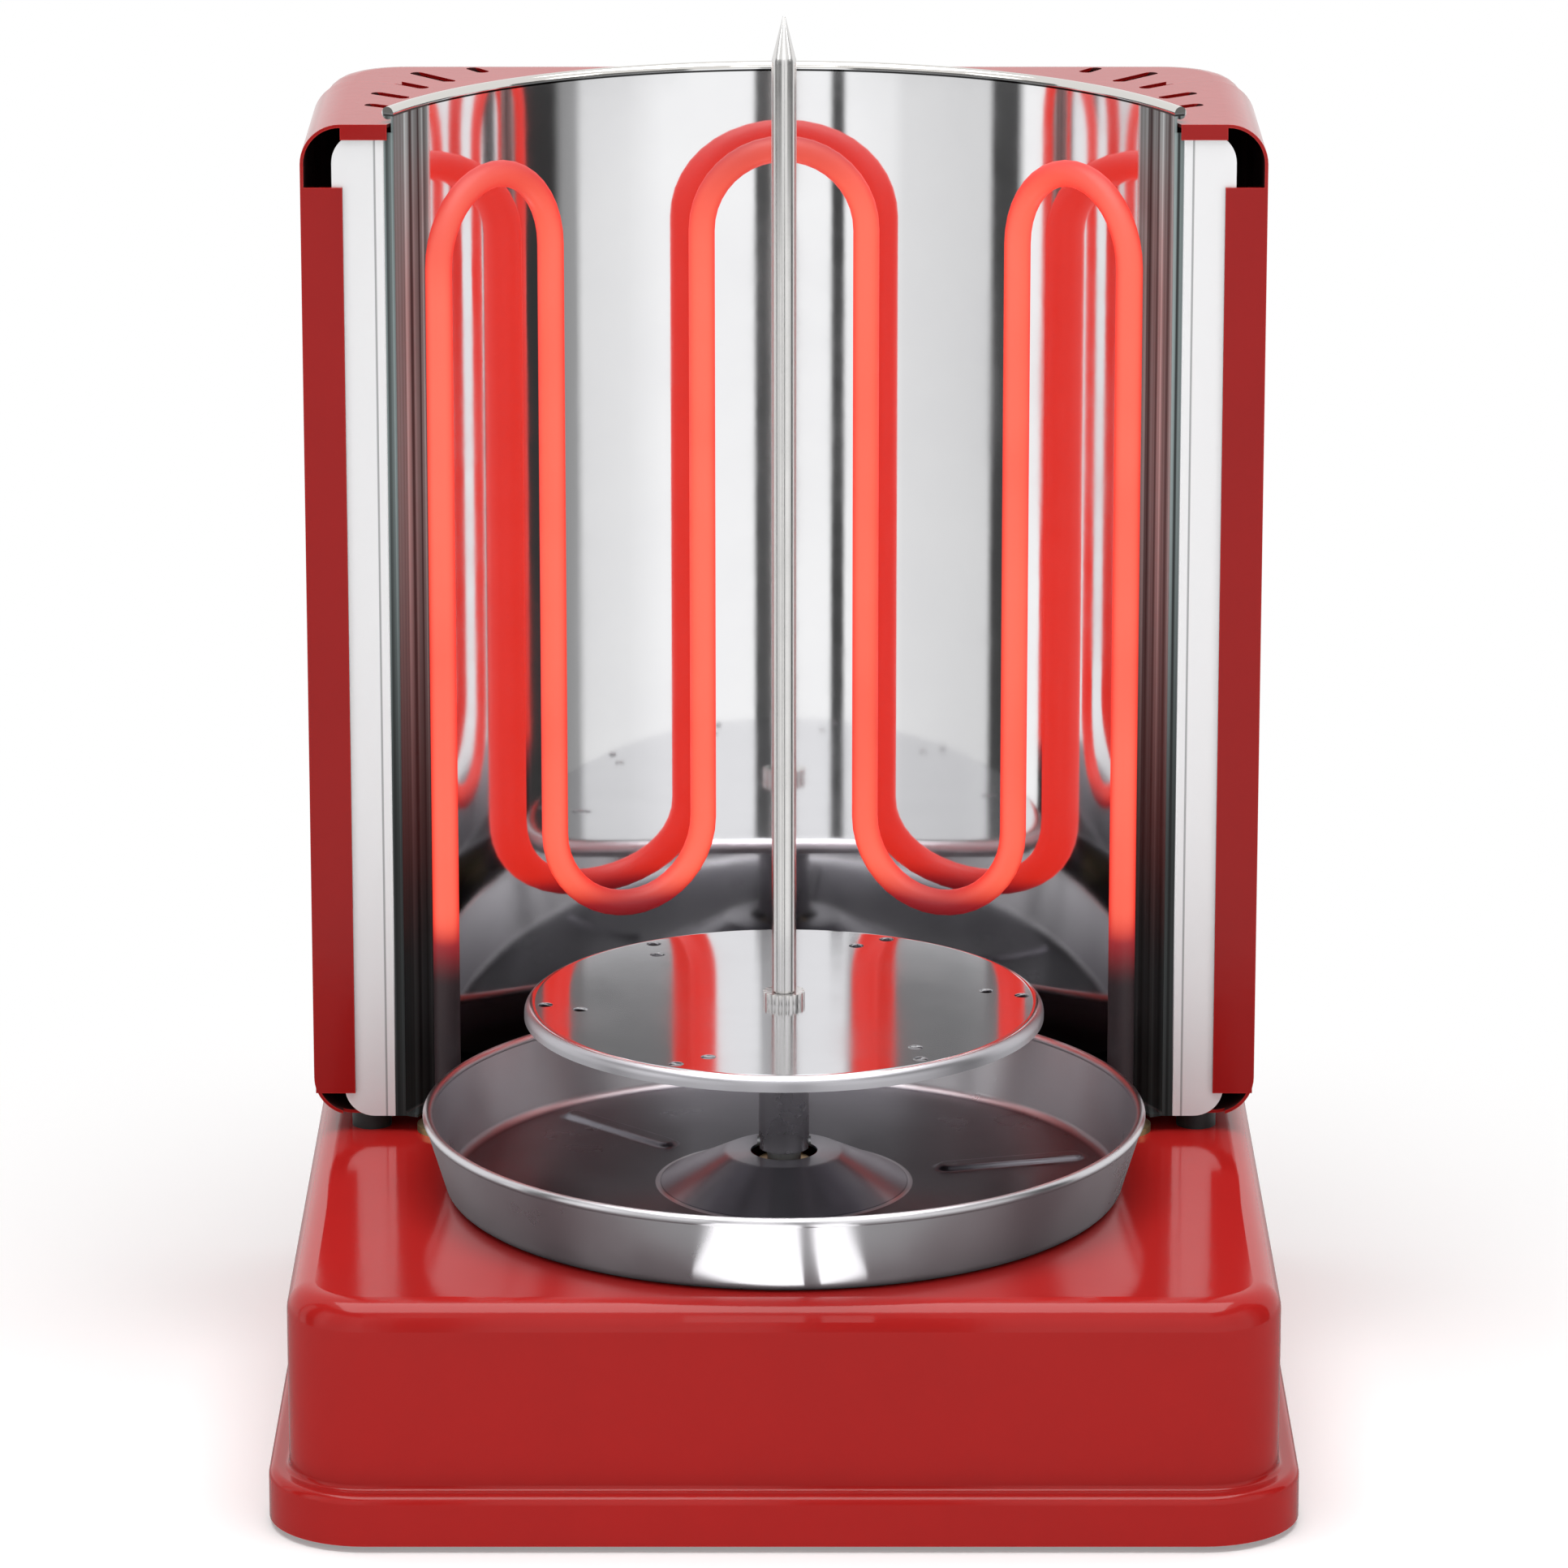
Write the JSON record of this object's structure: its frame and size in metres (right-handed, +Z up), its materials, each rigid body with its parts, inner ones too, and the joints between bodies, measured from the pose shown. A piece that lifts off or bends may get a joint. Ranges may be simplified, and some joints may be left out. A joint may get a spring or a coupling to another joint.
{
  "type": "electric skewer grill",
  "caption": "Upright electric skewer grill: a driven vertical spit with a plate turns over a lift-out drip tray, before a curved reflector with a looped heater.",
  "frame": {"origin": "on the table, under the middle of the base's footprint", "axes": "+Z up along the spit, +Y to the back, +X to the right of someone facing the open front"},
  "size_m": [0.299, 0.284, 0.426],
  "materials": {
    "red_enamel": "gloss red stove enamel on pressed sheet",
    "mirror_steel": "mirror-polished stainless sheet",
    "tray_steel": "spun stainless sheet, fine satin grain",
    "spit_steel": "polished stainless rod",
    "hub_steel": "dark oiled steel",
    "hot_tube": "sheathed heater tube, glowing",
    "zinc_steel": "zinc-plated",
    "brass": "turned",
    "bronze": "sintered, oiled",
    "black_steel": "black, semi-gloss",
    "black_rubber": "matt",
    "black_plastic": "moulded, satin",
    "ceramic": "glazed white",
    "gear_nylon": "moulded, natural",
    "copper_winding": "enamelled wire",
    "magnet": "ferrite and steel"
  },
  "bodies": {
    "housing": {"base_shell": "red_enamel", "bottom_plate": "zinc_steel", "corner_posts": "zinc_steel", "rubber_feet": "black_rubber", "foot_screws": "zinc_steel", "left_side_panel": "red_enamel", "right_side_panel": "red_enamel", "rear_cover": "red_enamel", "cover_screws": "zinc_steel", "casing_spacers": "black_steel", "casing_bolts": "zinc_steel", "casing_nuts": "zinc_steel", "reflector": "mirror_steel", "heating_element": "hot_tube", "element_fittings": "brass", "element_nuts": "brass", "element_terminals": "ceramic", "terminal_block": "ceramic", "thermal_cutout": "ceramic", "cord_gland": "black_plastic", "gland_nut": "black_plastic", "rocker_frames": "black_plastic", "gearbox_cover": "zinc_steel", "gearbox_case": "zinc_steel", "motor_can": "zinc_steel", "motor_coil": "copper_winding", "motor_screws": "zinc_steel", "motor_nuts": "zinc_steel", "idler_pin": "zinc_steel", "shaft_bush": "bronze"},
    "drive": {"drive_shaft": "zinc_steel", "output_gear": "gear_nylon", "drive_cross_pin": "zinc_steel"},
    "idler": {"idler_gear": "gear_nylon"},
    "rotor": {"motor_rotor": "magnet"},
    "spit": {"spit_hub": "hub_steel", "meat_plate": "mirror_steel", "spit_collar": "spit_steel", "spit_rod": "spit_steel"},
    "tray": {"drip_tray": "tray_steel"},
    "heat_switch": {"heat_rocker": "black_plastic"},
    "motor_switch": {"motor_rocker": "black_plastic"}
  },
  "joints": [
    {"name": "drive_turn", "type": "hinge", "parent": "housing", "child": "drive", "pos_m": [0, -0.024, 0.07], "axis": [0, 0, 1], "continuous": true},
    {"name": "idler_turn", "type": "hinge", "parent": "housing", "child": "idler", "pos_m": [0.01176, -0.012, 0.064], "axis": [0, 0, 1], "continuous": true},
    {"name": "rotor_turn", "type": "hinge", "parent": "housing", "child": "rotor", "pos_m": [0, 0, 0.05], "axis": [0, 0, 1], "continuous": true},
    {"name": "spit_lift", "type": "slide", "parent": "drive", "child": "spit", "axis": [0, 0, 1], "range_m": [0, 0.12]},
    {"name": "tray_lift", "type": "slide", "parent": "housing", "child": "tray", "axis": [0, 0, 1], "range_m": [0, 0.06]},
    {"name": "heat_rocker_tilt", "type": "hinge", "parent": "housing", "child": "heat_switch", "pos_m": [0.062, 0.1345, 0.045], "axis": [1, 0, 0], "range_deg": [0, 16]},
    {"name": "motor_rocker_tilt", "type": "hinge", "parent": "housing", "child": "motor_switch", "pos_m": [0.092, 0.1345, 0.045], "axis": [1, 0, 0], "range_deg": [0, 16]}
  ],
  "couplings": [
    {"joint": "idler_turn", "follows": "drive_turn", "ratio": -3},
    {"joint": "rotor_turn", "follows": "drive_turn", "ratio": 9},
    {"joint": "tray_lift", "follows": "spit_lift", "ratio": 0.5}
  ]
}
